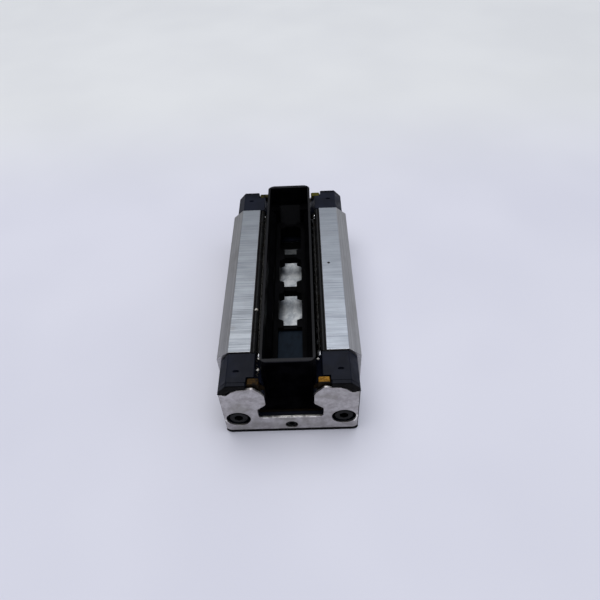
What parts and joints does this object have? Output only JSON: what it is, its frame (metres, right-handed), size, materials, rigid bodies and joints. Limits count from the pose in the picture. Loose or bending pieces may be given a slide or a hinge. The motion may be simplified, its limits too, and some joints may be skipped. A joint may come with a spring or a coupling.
{
  "type": "linear guide carriage",
  "caption": "Low, long recirculating-ball linear guide carriage with steel saddle, black end caps, end seals, steel cover plates and its sliding transport rail.",
  "frame": {"origin": "centre of the mounting face, which lies on the ground plane", "axes": "+Z from the mounting face to the rail side, +Y along the travel, +X across the carriage"},
  "size_m": [0.034, 0.0726, 0.024],
  "materials": {
    "ground_steel": "fine transverse grinding and milling lines",
    "hardened_steel": "ground and polished ball track",
    "bearing_steel": "polished ball",
    "stainless_sheet": "satin stamped sheet",
    "black_screw": "black oxide, oiled",
    "cap_plastic": "moulded, slightly glossy blue-black",
    "rail_plastic": "moulded, satin black",
    "seal_rubber": "oiled nitrile rubber",
    "guide_plastic": "moulded, greased",
    "oil_pad": "oil-soaked fibre pad"
  },
  "bodies": {
    "carriage": {"block_body": "ground_steel", "race_insert_left": "hardened_steel", "ball_retainer_web_left": "guide_plastic", "ball_retainer_base_left": "guide_plastic", "side_seal_left": "seal_rubber", "ball_circuit_web_side_left": "bearing_steel", "return_tube_web_side_left": "guide_plastic", "ball_circuit_rail_base_side_left": "bearing_steel", "return_tube_rail_base_side_left": "guide_plastic", "race_insert_right": "hardened_steel", "ball_retainer_web_right": "guide_plastic", "ball_retainer_base_right": "guide_plastic", "side_seal_right": "seal_rubber", "ball_circuit_web_side_right": "bearing_steel", "return_tube_web_side_right": "guide_plastic", "ball_circuit_rail_base_side_right": "bearing_steel", "return_tube_rail_base_side_right": "guide_plastic", "end_cap_front": "cap_plastic", "oil_pad_front": "oil_pad", "end_seal_front": "seal_rubber", "cover_plate_front": "stainless_sheet", "port_screw_front": "black_screw", "return_guide_front_left": "guide_plastic", "cap_screw_front_left": "black_screw", "return_guide_front_right": "guide_plastic", "cap_screw_front_right": "black_screw", "end_cap_rear": "cap_plastic", "oil_pad_rear": "oil_pad", "end_seal_rear": "seal_rubber", "cover_plate_rear": "stainless_sheet", "port_screw_rear": "black_screw", "return_guide_rear_left": "guide_plastic", "cap_screw_rear_left": "black_screw", "return_guide_rear_right": "guide_plastic", "cap_screw_rear_right": "black_screw"},
    "transport_rail_body": {"transport_rail": "rail_plastic"}
  },
  "joints": [
    {"name": "transport_rail_slide", "type": "slide", "parent": "carriage", "child": "transport_rail_body", "axis": [0, 1, 0], "range_m": [-0.071, 0.071]}
  ]
}
